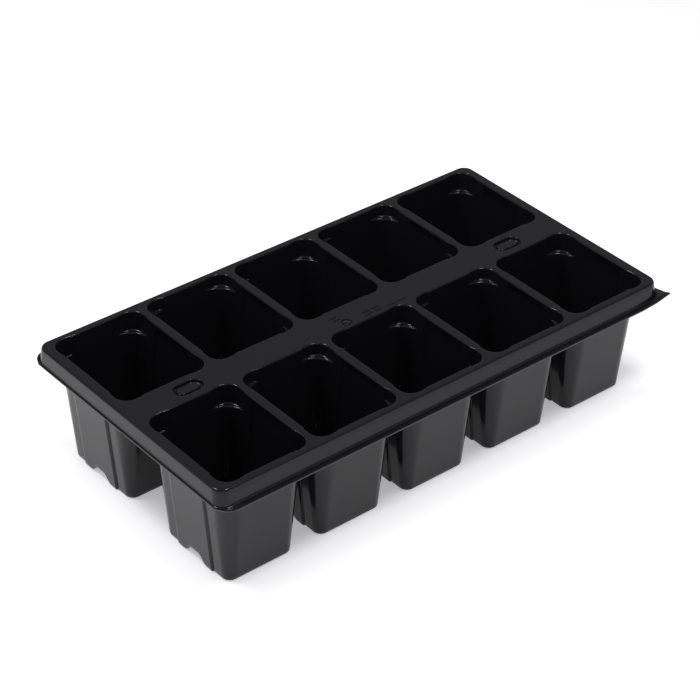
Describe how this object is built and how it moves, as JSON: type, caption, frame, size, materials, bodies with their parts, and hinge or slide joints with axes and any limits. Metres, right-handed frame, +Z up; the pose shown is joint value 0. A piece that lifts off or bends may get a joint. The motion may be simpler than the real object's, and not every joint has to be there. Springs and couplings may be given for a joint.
{
  "type": "seedling tray",
  "caption": "Thermoformed black plastic seedling tray with two rows of deep tapered square cells, drain holes and a flanged rim.",
  "frame": {"origin": "centre of the deck, between the two rows, on the surface that the cells stand on; the flange is trimmed 1.4 mm off that centre", "axes": "+X along the rows of cells, +Y toward the back row, +Z up through the cell mouths"},
  "size_m": [0.3138, 0.1742, 0.072],
  "materials": {
    "formed_sheet": "satin black, smooth thermoformed high-impact polystyrene"
  },
  "bodies": {
    "root": {"centre_land": "formed_sheet", "web_front_1": "formed_sheet", "web_front_2": "formed_sheet", "web_front_3": "formed_sheet", "web_front_4": "formed_sheet", "web_back_1": "formed_sheet", "web_back_2": "formed_sheet", "web_back_3": "formed_sheet", "web_back_4": "formed_sheet", "rim_front": "formed_sheet", "rim_back": "formed_sheet", "rim_left": "formed_sheet", "rim_right": "formed_sheet", "cell_front_1": "formed_sheet", "cell_front_2": "formed_sheet", "cell_front_3": "formed_sheet", "cell_front_4": "formed_sheet", "cell_front_5": "formed_sheet", "cell_back_1": "formed_sheet", "cell_back_2": "formed_sheet", "cell_back_3": "formed_sheet", "cell_back_4": "formed_sheet", "cell_back_5": "formed_sheet"}
  },
  "joints": []
}
